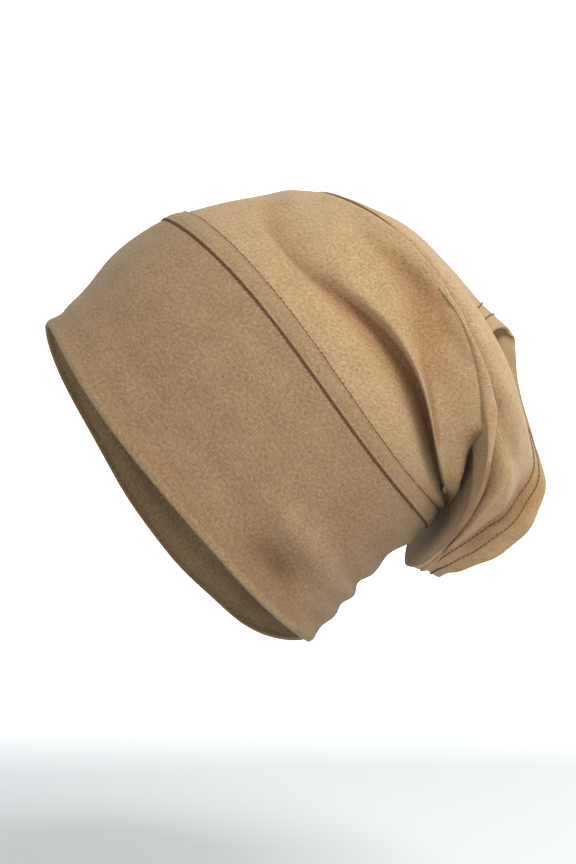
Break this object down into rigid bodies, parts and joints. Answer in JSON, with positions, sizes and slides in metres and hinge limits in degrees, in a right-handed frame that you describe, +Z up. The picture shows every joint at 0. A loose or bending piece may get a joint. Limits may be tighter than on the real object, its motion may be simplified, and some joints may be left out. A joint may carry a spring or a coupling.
{
  "type": "head wrap",
  "caption": "Soft tube cap of stretch jersey in its worn form, with a folded front band, a seam strip, a crown gathered in folds at the nape and an open hemmed back end.",
  "frame": {"origin": "centre of the head opening, in the plane of the rim, where the cap sits on the head", "axes": "+Z up as worn, -Y towards the face, +X towards the wearer's left"},
  "size_m": [0.1633, 0.2528, 0.2299],
  "materials": {
    "band_cloth": "matte stretch jersey, two layers",
    "strip_cloth": "matte stretch jersey, folded strip",
    "crown_cloth": "matte stretch jersey, one layer"
  },
  "bodies": {
    "root": {"front_band": "band_cloth", "seam_strip": "strip_cloth", "crown_tube": "crown_cloth", "back_bag": "crown_cloth"}
  },
  "joints": []
}
